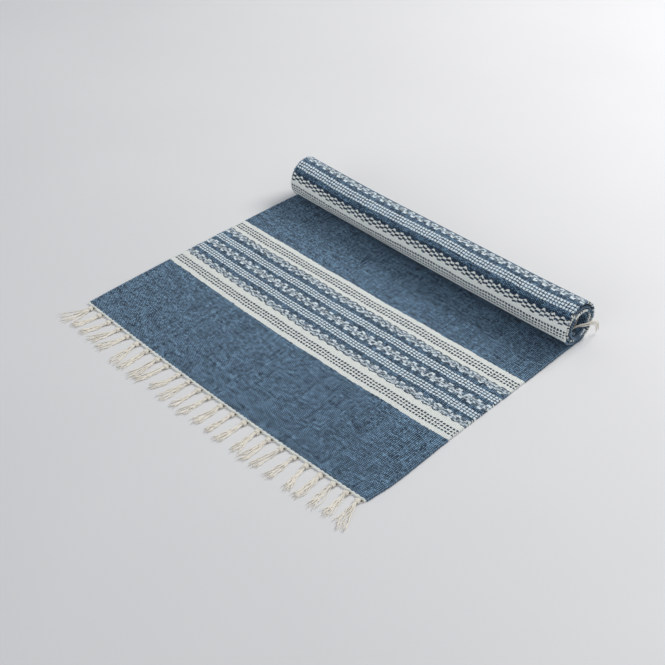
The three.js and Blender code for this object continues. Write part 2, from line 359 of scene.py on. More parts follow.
# Colours, in linear light
BLUE_DEEP = (0.008, 0.018, 0.036)
BLUE = (0.046, 0.098, 0.172)
BLUE_LIGHT = (0.225, 0.385, 0.555)
PALE = (0.885, 0.915, 0.885)
PALE_SHADE = (0.690, 0.720, 0.700)
COOL = (0.800, 0.900, 0.960)
CREAM = (0.960, 0.925, 0.850)
CREAM_SHADE = (0.830, 0.760, 0.650)
# Painted shadow: the dark yarn of the tubes put in the recesses beside the knots, where there is only
# shade
KNOT_SHADOW = (0.20, 0.16, 0.12)
KNOT_SHADOW_DEEP = (0.05, 0.04, 0.03)
FLOOR_LIGHT = (0.765, 0.765, 0.78)
FLOOR_SHADE = (0.735, 0.735, 0.75)

# The weave, in millimetres
GRAIN = 3.3333
CHECK = 6.6667
CHECK_EDGE = (2.05, 2.6)
ZIGZAG = 20
BAND_FIRST = 296.8
BAND_STEP = 382
LAST_BAND = 2
BAND_HALF = 102.8
CHART = 112
ZIGZAG_PHASE = 6.3
CHECK_PHASE = 1.2
# How far beyond a band's middle its inner rows are centred, and how far out that fades away
BEAT_SLIP = 2.6
BEAT_CHANGE = (64.0, 72.0)

# Rows out from a band's middle: where they start, how pale they are at the check columns and
# between them, and how deep the blue is. A paleness between nought and one comes out as flecks,
# and the pale yarn is cooler where the blue isn't deep.
ROWS_MIDDLE = [
    (0, 0.22, 0.22, 0.75),
    (5.2, 0.06, 0.06, 0.75),
    (9.6, 0, 0, 0.4),
    (18.7, 1, 0, 0.5),
    (22.6, 0, 0, 0.6),
    (24.8, 1, 0, 0.5),
    (28.7, 0, 0, 0.6),
    (30.9, 1, 0, 0.5),
    (34.6, 0, 0, 0.35),
]
ROWS_OUTER = [
    (63.4, 1, 1, 1),
    (73.9, 0, 1, 1),
    (77.9, 1, 1, 1),
    (80.8, 0, 1, 1),
    (84.8, 1, 1, 1),
    (87.7, 0, 1, 1),
    (91.7, 1, 1, 1),
    (BAND_HALF, 0, 0, 0),
]
ROWS_FRONT = [
    *ROWS_MIDDLE,
    (44.4, 0.04, 0.04, 0.75),
    (48.4, 0.22, 0.22, 0.8),
    (60.2, 0.03, 0.03, 0.95),
    *ROWS_OUTER,
]
ROWS_BACK = [*ROWS_MIDDLE, (44.4, 0, 0, 0.95), *ROWS_OUTER]

# The zigzags: where a row starts, then from and to how far from a column of tips it is pale,
# and how pale. A paleness under one comes out as flecks.
EVERYWHERE = 11
ZIGZAG_MIDDLE = [
    (0, 2.8, 7.2, 0.6),
    (2.8, 4.4, 8.4, 0.62),
    (5.4, 5.8, EVERYWHERE, 1),
    (9.2, 0, 0, 0),
]
ZIGZAG_FRONT = [
    *ZIGZAG_MIDDLE,
    (44.8, 0, 3.2, 0.9),
    (46.0, 0, 4.6, 1),
    (48.6, 3.0, 7.0, 0.5),
    (51.4, 5.4, EVERYWHERE, 0.6),
    (54.2, 3.4, 7.6, 0.55),
    (57.0, 0, 3.6, 0.65),
    (60.4, 6.6, EVERYWHERE, 1),
    (61.8, 4.2, EVERYWHERE, 1),
    (63.4, 0, 0, 0),
]
ZIGZAG_BACK = [
    *ZIGZAG_MIDDLE,
    (47.6, 0, 1.9, 1),
    (48.8, 0, 3.4, 1),
    (50.5, 0, 5.2, 1),
    (51.2, 4.6, EVERYWHERE, 1),
    (51.6, 5.7, EVERYWHERE, 1),
    (54.9, 4.6, EVERYWHERE, 1),
    (55.4, 0, 5.2, 1),
    (55.9, 0, 4.2, 1),
    (59.0, 0, 5.2, 1),
    (59.5, 4.2, EVERYWHERE, 1),
    (60.1, 5.0, EVERYWHERE, 1),
    (62.9, 3.6, EVERYWHERE, 1),
    (63.8, 0, 0, 0),
]

# The noises over the weave: waves a millimetre across and along, the noise's own layer, its
# detail and its roughness
NOISES = {
    "wander": (0.012, 0.02, 0.0, 1.0, 0.5),
    "shiver": (0.12, 0.25, 7.0, 1.0, 0.5),
    "slide": (0.05, 0.11, 3.0, 1.0, 0.5),
    "scatter": (0.15, 0.31, 11.0, 1.0, 0.5),
    "long_streak": (0.028, 0.36, 1.0, 3.0, 0.7),
    "short_streak": (0.11, 0.5, 5.0, 3.0, 0.7),
    "patch": (0.01, 0.02, 9.0, 2.0, 0.5),
    "fibre": (0.9, 2.6, 2.0, 2.0, 0.6),
}
# How far the rows wander, shiver and jog from warp to warp, and the columns slide, and the
# layer of the white noise that the jog follows
WANDER = 5.0
SHIVER = 2.2
JOG = 1.5
SLIDE = 3.0
JOG_LAYER = 4.0
# How round a grain is across and along
GRAIN_ROUND = (2.7, 2.9)
# Where the scatter noise turns from blue to pale, and how strongly it breaks up rows and zigzags
SCATTER_EDGE = (0.49, 0.55)
ROW_BREAK = 3.2
ZIGZAG_BREAK = 1.1
# How pale a zigzag is without the scatter, what single grains add, and where it turns solid
ZIGZAG_BASE = 0.3
GRAIN_CHOICE = 0.3
GRAIN_EDGE = 0.12
ZIGZAG_SOLID = (0.85, 1.0)
# How softly a zigzag ends, in shares of the widest distance from its tips
TIP_SLACK = 0.02
TIP_EDGE = 0.03
# How strongly each source heathers the blue, and how strongly the grain's height is painted into it as
# shade between the grains
LONG_STREAK = 4.2
HEATHER_BASE = 0.15
HEATHER = {
    "short_streak": 0.8,
    "grain_tone": 1.3,
    "jog": 0.5,
    "patch": 0.3,
    "fibre": 0.5,
}
BLUE_GRAIN_PAINTED_SHADE = (3.2, -1.46)
FLECK_EDGE = (0.93, 0.97)
FLECK = 0.45
# How far a deep row dims the blue, and where the middle blue lies between deep and light
DEEPENING = -0.75
BLUE_AT = 0.45
# What the pale cotton's shade follows: its own tone grain by grain, and painted shade between the grains
# from their height; and where it is cool
COTTON_TONE = 0.25
COTTON_GRAIN_PAINTED_SHADE = 0.75
COTTON_EDGE = (0.0, 0.65)
COOL_EDGE = (0.9, 0.8)
# What the relief follows, beside the grain
RELIEF_FIBRE = 0.35
RELIEF_STREAK = 0.5

WEAVE_SURFACE = {
    "Roughness": 0.92,
    "Specular IOR Level": 0.15,
    "Sheen Weight": 0.12,
    "Sheen Roughness": 0.55,
}
WEAVE_BUMP = {"Strength": 0.9, "Distance": 0.0011}
YARN_SURFACE = {
    "Roughness": 0.94,
    "Specular IOR Level": 0.12,
    "Sheen Weight": 0.35,
    "Sheen Roughness": 0.6,
}
YARN_BUMP = {"Strength": 0.45, "Distance": 0.0002}
FLOOR_SURFACE = {"Roughness": 0.6, "Specular IOR Level": 0.25}


class Look:
    """Short hands for one material's node tree."""

    def __init__(self, name):
        self.material = bpy.data.materials.new(name)
        self.material.use_nodes = True
        self.tree = self.material.node_tree
        self.shader = self.tree.nodes["Principled BSDF"]

    def node(self, kind, **settings):
        node = self.tree.nodes.new(kind)
        for key, value in settings.items():
            setattr(node, key, value)
        return node

    def put(self, socket, value):
        if isinstance(value, bpy.types.NodeSocket):
            self.tree.links.new(value, socket)
        elif isinstance(value, tuple) and len(value) == 3 and socket.type == "RGBA":
            socket.default_value = (*value, 1)
        else:
            socket.default_value = value

    def put_all(self, node, values):
        for name, value in values.items():
            self.put(node.inputs[name], value)

    def math(self, operation, *values, clamp=False):
        node = self.node("ShaderNodeMath", operation=operation, use_clamp=clamp)
        for socket, value in zip(node.inputs, values):
            self.put(socket, value)
        return node.outputs[0]

    def swing(self, value, size):
        """A value between nought and one, spread evenly about nought."""
        return self.math("MULTIPLY_ADD", value, size, -size / 2)

    def blend(self, share, low, high):
        node = self.node("ShaderNodeMix", data_type="RGBA")
        self.put_all(node, {"Factor": share, "A": low, "B": high})
        return node.outputs["Result"]

    def vector(self, x, y, z=0.0):
        node = self.node("ShaderNodeCombineXYZ")
        for socket, value in zip(node.inputs, (x, y, z)):
            self.put(socket, value)
        return node.outputs[0]

    def noise(self, vector, scale, detail, rough):
        node = self.node("ShaderNodeTexNoise", normalize=True)
        self.put_all(
            node, {"Vector": vector, "Scale": scale, "Detail": detail, "Roughness": rough}
        )
        return node.outputs["Fac"]

    def stretched_noise(self, u, v, name):
        """One of the noises over the weave."""
        across, along, layer, detail, rough = NOISES[name]
        place = self.vector(self.math("MULTIPLY", u, across), self.math("MULTIPLY", v, along), layer)
        return self.noise(place, 1.0, detail, rough)

    def white_noise(self, vector):
        node = self.node("ShaderNodeTexWhiteNoise", noise_dimensions="3D")
        self.put(node.inputs["Vector"], vector)
        return node.outputs["Value"]

    def spread(self, value, low, high, to_low=0.0, to_high=1.0):
        node = self.node("ShaderNodeMapRange")
        ends = {"From Min": low, "From Max": high, "To Min": to_low, "To Max": to_high}
        self.put_all(node, {"Value": value, **ends})
        return node.outputs["Result"]

    def steps(self, at, rows):
        """A ramp of level steps, each row a start in millimetres and its colour."""
        node = self.node("ShaderNodeValToRGB")
        ramp = node.color_ramp
        ramp.interpolation = "CONSTANT"
        self.put(node.inputs["Fac"], self.math("DIVIDE", at, CHART))
        for place, row in enumerate(rows):
            if place > 1:
                ramp.elements.new(row[0] / CHART)
            ramp.elements[place].position = row[0] / CHART
            ramp.elements[place].color = (*row[1:], 1)
        parts = self.node("ShaderNodeSeparateColor")
        self.put(parts.inputs[0], node.outputs["Color"])
        return parts.outputs[:3]

    def woven_place(self):
        """The place on the cloth or yarn, in millimetres: across or around, and along."""
        uv = self.node("ShaderNodeUVMap", uv_map="weave").outputs[0]
        parts = self.node("ShaderNodeSeparateXYZ")
        self.put(parts.inputs[0], uv)
        return [self.math("MULTIPLY", part, MM_A_METRE) for part in parts.outputs[:2]]

    def finish(self, colour, surface, height=None, bump=None):
        """Joins the colour and the relief to the shader, and sets what is even all over."""
        self.put(self.shader.inputs["Base Color"], colour)
        self.put_all(self.shader, surface)
        if bump is not None:
            relief = self.node("ShaderNodeBump")
            self.put_all(relief, {"Height": height, **bump})
            self.put(self.shader.inputs["Normal"], relief.outputs["Normal"])
        return self.material


def bent_place(look, u, v, noises):
    """The hand-beaten rows wander a little, and the columns less."""
    wander = look.math("ADD", look.swing(noises["wander"], WANDER), look.swing(noises["shiver"], SHIVER))
    v_bent = look.math("ADD", v, wander)
    v_bent = look.math("ADD", v_bent, look.swing(noises["jog"], JOG))
    return look.math("ADD", u, look.swing(noises["slide"], SLIDE)), v_bent


def nearest_band(look, v_bent):
    """Which band is nearest, how far from its middle a place is, and whether it is beyond."""
    share = look.math("DIVIDE", look.math("SUBTRACT", v_bent, BAND_FIRST), BAND_STEP)
    band = look.math("FLOOR", look.math("ADD", share, 0.5))
    band = look.math("MINIMUM", look.math("MAXIMUM", band, 0.0), LAST_BAND)
    off = look.math("MULTIPLY", look.math("SUBTRACT", share, band), BAND_STEP)
    slip = look.spread(look.math("ABSOLUTE", off), *BEAT_CHANGE, BEAT_SLIP, 0.0)
    off = look.math("SUBTRACT", off, slip)
    out = look.math("MINIMUM", look.math("ABSOLUTE", off), CHART - 1)
    return band, out, look.math("GREATER_THAN", off, 0.0)


def yarn_grain(look, share, column, v_bent, band):
    """One grain for each pass of the yarn over a warp: how high it is, and a tone of its own."""
    stagger = look.math("MULTIPLY", look.math("FLOORED_MODULO", column, 2.0), 0.5)
    climb = look.math("ADD", look.math("DIVIDE", v_bent, GRAIN), stagger)
    tone = look.white_noise(look.vector(column, look.math("FLOOR", climb), band))
    rounded = []
    for place, arch in zip((share, climb), GRAIN_ROUND):
        off = look.math("SUBTRACT", look.math("FRACT", place), 0.5)
        rounded.append(look.math("COSINE", look.math("MULTIPLY", off, arch)))
    return look.math("MULTIPLY", *rounded), tone


def off_columns(look, u_bent, pitch, start):
    """The distance across from the nearest of a row of columns."""
    cycle = look.math("FLOORED_MODULO", look.math("ADD", u_bent, start), pitch)
    return look.math("ABSOLUTE", look.math("SUBTRACT", cycle, pitch / 2))


def charted_rows(look, chart_rows, u_bent, out, scatter):
    """How pale the rows and checks are, and how deep the blue between them is."""
    check = off_columns(look, u_bent, CHECK, CHECK / 2 - CHECK_PHASE)
    at_check, between, deep = look.steps(out, chart_rows)
    on_check = look.spread(check, *CHECK_EDGE, 1.0, 0.0)
    more = look.math("SUBTRACT", at_check, between)
    rows = look.math("MULTIPLY_ADD", on_check, more, between, clamp=True)
    broken = look.math("MULTIPLY_ADD", scatter, ROW_BREAK, rows)
    return look.math("MULTIPLY", rows, broken, clamp=True), deep


def charted_zigzags(look, zigzag_rows, u_bent, out, beyond, scatter, grain_tone):
    """How pale the zigzags are."""
    start = look.math("MULTIPLY_ADD", beyond, ZIGZAG / 2, ZIGZAG / 2 - ZIGZAG_PHASE)
    tip = off_columns(look, u_bent, ZIGZAG, start)
    shares = [
        (at, low / EVERYWHERE, high / EVERYWHERE, strength)
        for at, low, high, strength in zigzag_rows
    ]
    starts, ends, strength = look.steps(out, shares)
    tip_share = look.math("DIVIDE", look.math("ADD", tip, TIP_SLACK), EVERYWHERE)
    after = look.spread(look.math("SUBTRACT", tip_share, starts), -TIP_EDGE, TIP_EDGE)
    until = look.spread(look.math("SUBTRACT", ends, tip_share), -TIP_EDGE, TIP_EDGE)
    zigzag = look.math("MULTIPLY", after, until)
    chosen = look.spread(look.math("SUBTRACT", strength, grain_tone), -GRAIN_EDGE, GRAIN_EDGE)
    half_tone = look.math("MULTIPLY_ADD", scatter, ZIGZAG_BREAK, ZIGZAG_BASE)
    half_tone = look.math("MULTIPLY_ADD", chosen, GRAIN_CHOICE, half_tone)
    half_tone = look.math("MULTIPLY", half_tone, strength)
    solid = look.spread(strength, *ZIGZAG_SOLID)
    half_tone = look.math("MINIMUM", look.math("MAXIMUM", half_tone, solid), 1.0)
    return look.math("MULTIPLY", zigzag, half_tone)


def blue_yarn(look, noises, grain, deep):
    """Heathered yarn: streaks across, specks and slow patches, with painted shade between the grains."""
    long_streak = look.math("SUBTRACT", noises["long_streak"], 0.5)
    heather_and_shade = look.math("MULTIPLY_ADD", long_streak, LONG_STREAK, HEATHER_BASE)
    for name, strength in HEATHER.items():
        heather_and_shade = look.math("ADD", heather_and_shade, look.swing(noises[name], strength))
    # Painted shade: the blue darkens between the grains, where their relief is low
    heather_and_shade = look.math("ADD", heather_and_shade, look.math("MULTIPLY_ADD", grain, *BLUE_GRAIN_PAINTED_SHADE))
    fleck = look.spread(noises["grain_tone"], *FLECK_EDGE)
    heather_and_shade = look.math("ADD", heather_and_shade, look.math("MULTIPLY", fleck, FLECK))
    dimmed = look.math("MULTIPLY_ADD", deep, DEEPENING, 1.0)
    heather_and_shade = look.math("MULTIPLY", heather_and_shade, dimmed, clamp=True)
    blue = look.node("ShaderNodeValToRGB")
    blue.color_ramp.elements[0].color = (*BLUE_DEEP, 1)
    blue.color_ramp.elements[1].color = (*BLUE_LIGHT, 1)
    blue.color_ramp.elements.new(BLUE_AT).color = (*BLUE, 1)
    look.put(blue.inputs["Fac"], heather_and_shade)
    return blue.outputs["Color"]


def cotton_yarn(look, grain_tone, grain, deep):
    """Pale yarn with painted shade between its grains, cooler where the blue beside it isn't deep."""
    tone = look.math("MULTIPLY", grain_tone, COTTON_TONE)
    # Painted shade: the grain's height darkens the cotton between the grains
    tone = look.math("ADD", tone, look.math("MULTIPLY", grain, COTTON_GRAIN_PAINTED_SHADE))
    cotton = look.blend(look.spread(tone, *COTTON_EDGE), PALE_SHADE, PALE)
    return look.blend(look.spread(deep, *COOL_EDGE), cotton, COOL)


def weave_material(name, chart_rows, zigzag_rows):
    """Weft-faced cotton, coloured by the chart."""
    look = Look(name)
    u, v = look.woven_place()
    noises = {key: look.stretched_noise(u, v, key) for key in NOISES}
    share = look.math("DIVIDE", u, GRAIN)
    column = look.math("FLOOR", share)
    noises["jog"] = look.white_noise(look.vector(column, JOG_LAYER))
    u_bent, v_bent = bent_place(look, u, v, noises)
    band, out, beyond = nearest_band(look, v_bent)
    grain, noises["grain_tone"] = yarn_grain(look, share, column, v_bent, band)

    scatter = look.spread(noises["scatter"], *SCATTER_EDGE)
    rows, deep = charted_rows(look, chart_rows, u_bent, out, scatter)
    zigzags = charted_zigzags(
        look, zigzag_rows, u_bent, out, beyond, scatter, noises["grain_tone"]
    )
    pale = look.math("MAXIMUM", rows, zigzags)
    cotton = cotton_yarn(look, noises["grain_tone"], grain, deep)
    colour = look.blend(pale, blue_yarn(look, noises, grain, deep), cotton)

    height = look.math("ADD", grain, look.math("MULTIPLY", noises["fibre"], RELIEF_FIBRE))
    height = look.math("ADD", height, look.math("MULTIPLY", noises["short_streak"], RELIEF_STREAK))
    return look.finish(colour, WEAVE_SURFACE, height, WEAVE_BUMP)


# Spun yarn: the length of one twist, the plies, the noises of the specks and patches (scale,
# detail and roughness), and how strongly each is shaded: the plies with painted shade in the
# grooves between them, the specks and patches with the yarn's own random tone
YARN_TWIST = 3.2
WEFT_TWIST = 3.0
PLIES = 2.0
SPECKS = (900.0, 3.0, 0.6)
PATCHES = (130.0, 2.0, 0.5)
PLY_PAINTED_SHADE = (0.22, 0.5)
SPECK_SHADE = 0.8
PATCH_SHADE = 0.8


def yarn_material(name, light, shade, twist):
    """Spun yarn, its plies showing as slanting ridges along the tube, with painted shade in their
    grooves.
    """
    look = Look(name)
    around, along = look.woven_place()
    turns = look.math("ADD", look.math("MULTIPLY", around, PLIES), look.math("DIVIDE", along, twist))
    ply = look.math("COSINE", look.math("MULTIPLY", turns, FULL_TURN))
    place = look.node("ShaderNodeTexCoord").outputs["Object"]
    speck = look.noise(place, *SPECKS)
    patch = look.noise(place, *PATCHES)
    # Painted shade: the grooves between the plies are darker; the specks and patches are the yarn's own
    # tone
    tone = look.math("MULTIPLY_ADD", ply, *PLY_PAINTED_SHADE)
    tone = look.math("ADD", tone, look.swing(speck, SPECK_SHADE))
    tone = look.math("ADD", tone, look.swing(patch, PATCH_SHADE), clamp=True)
    colour = look.blend(tone, shade, light)
    return look.finish(colour, YARN_SURFACE, look.math("ADD", ply, speck), YARN_BUMP)


WEAVE_FRONT = weave_material("weave_front", ROWS_FRONT, ZIGZAG_FRONT)
WEAVE_BACK = weave_material("weave_back", ROWS_BACK, ZIGZAG_BACK)
# Each yarn's second colour is its painted shade in the ply grooves, also the dark end of its own random
# tone; the blue yarn's is the deep blue
YARN_CREAM = yarn_material("yarn_cream", CREAM, CREAM_SHADE, YARN_TWIST)
# Painted shadow: the dark yarn for the recesses beside the knots
PAINTED_KNOT_SHADOW = yarn_material("painted_knot_shadow", KNOT_SHADOW, KNOT_SHADOW_DEEP, YARN_TWIST)
YARN_PALE = yarn_material("yarn_pale", PALE, PALE_SHADE, WEFT_TWIST)
YARN_BLUE = yarn_material("yarn_blue", BLUE_LIGHT, BLUE_DEEP, WEFT_TWIST)

# The cloth: a closed sheet, its upper and under faces woven alike but showing other yarns
ACROSS_CELLS = 100
FLAT_STEP = 9
ROLL_STEP = 4.2
SHARP_ANGLE = 50
flat_rows = np.linspace(0, FLAT_END, round(FLAT_END / FLAT_STEP) + 1)
roll_rows = np.linspace(
    FLAT_END, CLOTH_LENGTH, round((CLOTH_LENGTH - FLAT_END) / ROLL_STEP) + 1
)
alongs = np.concatenate([flat_rows, roll_rows[1:]])
acrosses = np.linspace(0, 1, ACROSS_CELLS + 1)


def cloth_faces(count, under):
    """Faces of the closed sheet, with the look of each: nought for the upper, one for the under."""
    faces = []
    looks = []
    for column in range(ACROSS_CELLS):
        for row in range(count - 1):
            here = column * count + row
            beside = here + count
            faces.append((here, beside, beside + 1, here + 1))
            faces.append((here + under, here + 1 + under, beside + 1 + under, beside + under))
            looks += [0, 1]
    for left in range(count - 1):
        faces.append((left, left + 1, left + 1 + under, left + under))
        right = ACROSS_CELLS * count + left
        faces.append((right, right + under, right + 1 + under, right + 1))
        looks += [0, 0]
    for column in range(ACROSS_CELLS):
        near_end = column * count
        faces.append((near_end, near_end + under, near_end + count + under, near_end + count))
        far_end = near_end + count - 1
        faces.append((far_end, far_end + count, far_end + count + under, far_end + under))
        looks += [0, 0]
    return faces, looks


def cloth_piece():
    points = []
    uvs = []
    for lift in (HALF_THICK, -HALF_THICK):
        for across in acrosses:
            points.append(cloth_points(across, alongs, lift))
            u = mix(-WIDTH / 2, WIDTH / 2, across)
            uvs.append(np.stack([np.full(len(alongs), u), alongs], axis=-1))
    faces, looks = cloth_faces(len(alongs), len(alongs) * len(acrosses))
    woven = [WEAVE_FRONT, WEAVE_BACK]
    piece = mesh_object("cloth", np.concatenate(points), faces, np.concatenate(uvs), woven, looks)
    piece.data.set_sharp_from_angle(angle=math.radians(SHARP_ANGLE))
    return piece


cloth = cloth_piece()

# The selvedges: each pass of yarn turns round the outermost warp as a small loop
LOOP_PITCH = 5
LOOP_RADIUS = 1.5
LOOP_THICKNESS = (0.9, 1.12)
LOOP_TAPER = np.array([0.6, 0.85, 1, 1, 1, 0.85, 0.6])
LOOP_OVER = 0.1
LOOP_ARC = np.linspace(-1, 1, len(LOOP_TAPER))
LOOP_LIFTS = np.sin(LOOP_ARC * math.pi / 2) * (HALF_THICK + LOOP_OVER)
LOOP_BULGE = 1.5
LOOP_JITTER = 0.35
LOOP_SET_IN = 1.6
LOOP_SLANT = 1.1
PALE_FROM = 63.5
PALE_SHARE = 0.45
LOOP_SEED = 7
chance = random.Random(LOOP_SEED)


def is_pale_edge(along):
    """Whether the yarn that turns here is a pale one."""
    band = min(max(math.floor((along - BAND_FIRST) / BAND_STEP + 0.5), 0), LAST_BAND)
    out = abs(along - BAND_FIRST - band * BAND_STEP)
    if out > BAND_HALF:
        return False
    if out > PALE_FROM:
        return True
    return chance.random() < PALE_SHARE


def loop(bundle, across, side, along):
    """One pass of yarn, turning round the edge of the cloth from its under to its upper face."""
    bulge = LOOP_BULGE + chance.uniform(-LOOP_JITTER, LOOP_JITTER)
    reaches = np.cos(LOOP_ARC * math.pi / 2) * bulge - LOOP_SET_IN
    path = []
    for lift, reach, skew in zip(LOOP_LIFTS, reaches, LOOP_ARC * LOOP_SLANT):
        point = cloth_point(across, along + skew, lift)
        path.append((point.x + side * reach, point.y, point.z))
    bundle.tube(path, LOOP_RADIUS * chance.uniform(*LOOP_THICKNESS) * LOOP_TAPER)


def selvedge_piece(name, pale, material):
    bundle = Bundle()
    for across, side in ((0, -1), (1, 1)):
        along = LOOP_PITCH / 2
        while along < CLOTH_LENGTH - 1:
            if is_pale_edge(along) == pale:
                loop(bundle, across, side, along)
            along += LOOP_PITCH
    return bundle.piece(name, material)


selvedges = [
    selvedge_piece("selvedge_blue", False, YARN_BLUE),
    selvedge_piece("selvedge_pale", True, YARN_PALE),
]

# The headings: two picks of thick pale weft, bedded on the ends of the warps
WARP_PITCH = 4.6
PICK_STEP = 1.15
PICK_RADIUS = 1.65
PICK_SWELL = 0.22
PICK_RISE = 0.3
PICKS_OFF = (0.7, 2.5)


def heading_piece(name, alongs):
    """Thick picks side by side, each swelling over every second warp."""
    bundle = Bundle()
    for index, along in enumerate(alongs):
        path = []
        radii = []
        for place in range(int(WIDTH / PICK_STEP) + 1):
            across = place * PICK_STEP / WIDTH
            wave = math.sin(across * WIDTH / WARP_PITCH * math.pi + index * math.pi / 2)
            radii.append(PICK_RADIUS + PICK_SWELL * wave)
            path.append(cloth_point(across, along, PICK_RISE * wave))
        bundle.tube(path, radii)
    return bundle.piece(name, YARN_PALE)


# The knots: warps wrapped over a thick core, with a dark tube of painted shadow in the recess beside
# them
KNOT_POINTS = 27
KNOT_TURNS = (2.1, 2.6)
KNOT_SLANT = 0.35
KNOT_WIDE = (3.7, 4.4)
KNOT_START = 2.8
KNOT_LONG = 6.2
KNOT_SKEW = 4
KNOT_SWAY = 0.5
KNOT_HIGH = 2.3
KNOT_LOWEST = 1.7
KNOT_RADIUS = 1.65
KNOT_TAPER = ([0, 0.1, 0.9, 1], [0.4, 1, 1, 0.5])
CORE_RADII = [1.6, 2.8, 3.3, 3.3, 2.8, 1.5]
CORE_START = 3.0
CORE_LONG = 6.0
CORE_DROP = 0.2
CORE_SIDES = 8
CORE_FLAT = 0.8
SHADOW_RADII = [0.9, 1.7, 1.7, 0.9]
SHADOW_START = (3.2, 2.4, 1.2)
SHADOW_STEP = (1.1, 0.5, -0.3)


def knot(bundle, shadows, rng, centre):
    """Warps tied in an overhand knot: the bundle wrapped over itself, with painted shadow beside it."""
    x, y, z = centre
    turns = rng.uniform(*KNOT_TURNS)
    slant = rng.uniform(-KNOT_SLANT, KNOT_SLANT)
    wide = rng.uniform(*KNOT_WIDE)
    begin = rng.uniform(0, FULL_TURN)
    path = []
    for place in range(KNOT_POINTS):
        share = place / (KNOT_POINTS - 1)
        angle = begin + share * turns * FULL_TURN
        path.append(
            (
                x + wide * math.cos(angle) + slant * (share - 0.5) * KNOT_SKEW,
                y + KNOT_START - KNOT_LONG * share + KNOT_SWAY * math.cos(angle),
                max(z + KNOT_HIGH * math.sin(angle), KNOT_LOWEST),
            )
        )
    bundle.tube(path, KNOT_RADIUS * np.interp(np.linspace(0, 1, KNOT_POINTS), *KNOT_TAPER))
    last = len(CORE_RADII) - 1
    core = [
        (x, y + CORE_START - CORE_LONG * place / last, z - CORE_DROP) for place in range(last + 1)
    ]
    bundle.tube(core, CORE_RADII, CORE_SIDES, CORE_FLAT)
    # A dark tube of painted shadow in the recess beside the knot
    shadow_path = [
        [at + start + step * place for at, start, step in zip(centre, SHADOW_START, SHADOW_STEP)]
        for place in range(len(SHADOW_RADII))
    ]
    shadows.tube(shadow_path, SHADOW_RADII)


# The loose fibres of a cut yarn
FIBRES = 4
FIBRE_SPRAY = 0.32
FIBRE_LONG = (2.0, 5.0)
FIBRE_SWAY = 0.4
FIBRE_LIFT = (-0.3, 0.7)
FIBRE_RADII = [0.42, 0.34, 0.12]
FIBRE_SIDES = 4


def frayed(bundle, rng, end, ahead, lowest):
    """The loose fibres a cut yarn ends in."""
    for fibre in range(FIBRES):
        way = np.array(ahead) + np.array([rng.gauss(0, FIBRE_SPRAY), rng.gauss(0, FIBRE_SPRAY), 0])
        way /= np.linalg.norm(way)
        long = rng.uniform(*FIBRE_LONG)
        path = []
        for share in (0, 0.5, 1):
            point = np.array(end) + way * long * share
            point[0] += rng.uniform(-FIBRE_SWAY, FIBRE_SWAY) * share
            point[2] = max(point[2] + rng.uniform(*FIBRE_LIFT) * share, lowest)
            path.append(point)
        bundle.tube(path, FIBRE_RADII, FIBRE_SIDES)


# The near tassels: warps gathered into a knot, and loose yarns beyond it
KNOT_OFF = 2.4
KNOT_Z = 3.6
WARPS_A_TASSEL = 6
WARP_POINTS = 6
WARP_RADIUS = 0.5
WARP_SIDES = 5
WARPS_WIDE = 8.5
WARPS_TIGHT = 1.3
WARP_JITTER = 0.6
WARP_START = 3.8
WARP_START_Z = 1.2
WARP_END = 1.2
WARP_EASE = 1.3
YARNS_A_TASSEL = 10
YARN_BENDS = 20
YARN_JITTER = 0.16
YARN_LONGER = 2
YARN_SHORTER = 5
YARN_UNEVEN = (-3, 7)
YARN_FAN = 0.55
YARN_BOW = 2.5
YARN_WAVES = (1.0, 2.6)
YARN_SWAY = (0.3, 1.3)
SWAY_GROWTH = 4
YARN_EASE = 1.25
YARN_RADIUS = (0.62, 0.92)
YARN_START = 2.0
YARN_START_WIDE = 1.7
YARN_START_Z = 2.4
YARN_FALL = 2.2
YARN_PILE = 2.2
YARN_RIPPLE = 0.55
YARN_RIPPLES = 9
YARN_SINK = 0.35
TIP_RISE = 3.5
TIP_FROM = 0.6
TIP_STEEP = 6
UNEVEN_TWIST = 0.1
TWIST_STEP = 2.4
CUT_END = 0.6
NEAR_FRAY_Z = 0.35
NEAR_SEED = 21


def gathered_warps(bundle, rng, x, root_y):
    """Warps that come out of the heading and run together into the knot."""
    for place in fan(WARPS_A_TASSEL):
        start_x = x + place * WARPS_WIDE + rng.uniform(-WARP_JITTER, WARP_JITTER)
        start_y = float(bow_at(share_across(start_x), 0)) - WARP_START
        path = []
        for share in np.linspace(0, 1, WARP_POINTS):
            path.append(
                (
                    mix(start_x, x + place * WARPS_TIGHT, share ** WARP_EASE),
                    mix(start_y, root_y + WARP_END, share),
                    mix(WARP_START_Z, KNOT_Z, share * share),
                )
            )
        bundle.tube(path, WARP_RADIUS, WARP_SIDES)


